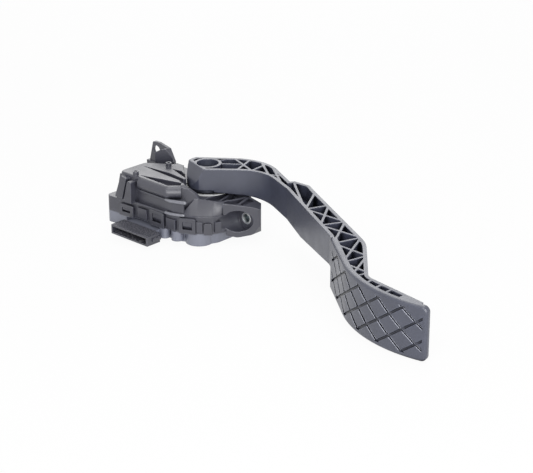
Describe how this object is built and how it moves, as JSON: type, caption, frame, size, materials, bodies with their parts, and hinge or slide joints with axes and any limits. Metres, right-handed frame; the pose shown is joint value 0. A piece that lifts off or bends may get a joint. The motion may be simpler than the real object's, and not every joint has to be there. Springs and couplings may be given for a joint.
{
  "type": "accelerator pedal",
  "caption": "Hanging electronic accelerator pedal: truss arm with a grooved tread, bearing and sensor housing with spring return, flat connector and bulkhead ears.",
  "frame": {"origin": "on the axis of the lower fixing sleeve, in the plane of the bulkhead", "axes": "+X down the arm, +Y towards the bulkhead, +Z along the pivot axis towards the open face of the arm"},
  "size_m": [0.3496, 0.1227, 0.052],
  "materials": {
    "arm": "fine moulded grain",
    "housing": "moulded, satin",
    "cover": "moulded, satin",
    "lever": "glass-filled, satin",
    "steel": "zinc plated",
    "spring": "spring wire",
    "bush": "plain bearing plastic",
    "rubber": "matt",
    "board": "solder mask",
    "chip": "moulded",
    "pins": "tinned",
    "slider": "low-friction plastic",
    "pads": "friction lining",
    "target": "rolled"
  },
  "bodies": {
    "housing": {"housing": "housing", "sensor_cover": "cover", "lower_sleeve": "steel", "upper_bush": "bush", "lower_bush": "bush", "spring_seat": "slider", "outer_spring": "spring", "inner_spring": "spring", "idle_stop_buffer": "rubber", "full_stop_buffer": "rubber", "cover_seal": "rubber", "sensor_board": "board", "sensor_chips": "chip", "board_screws": "steel", "connector_pins": "pins"},
    "pedal": {"pedal_arm": "arm", "pivot_lever": "lever", "arm_screw": "steel", "sensor_rotor": "slider", "rotor_target": "target", "thrust_washer": "bush"},
    "slider": {"friction_slider": "slider", "friction_pads": "pads"}
  },
  "joints": [
    {"name": "pedal_pivot", "type": "hinge", "parent": "housing", "child": "pedal", "pos_m": [-0.0385, -0.01, 0], "axis": [0, 0, 1], "range_deg": [0, 16], "stiffness_Nm_per_rad": 16, "springref_deg": -12.61},
    {"name": "carriage_slide", "type": "slide", "parent": "housing", "child": "slider", "axis": [0, -1, 0], "range_m": [0, 0.0073], "deforming": ["outer_spring", "inner_spring"]}
  ],
  "couplings": [
    {"joint": "carriage_slide", "follows": "pedal_pivot", "m_per_rad": 0.026}
  ]
}
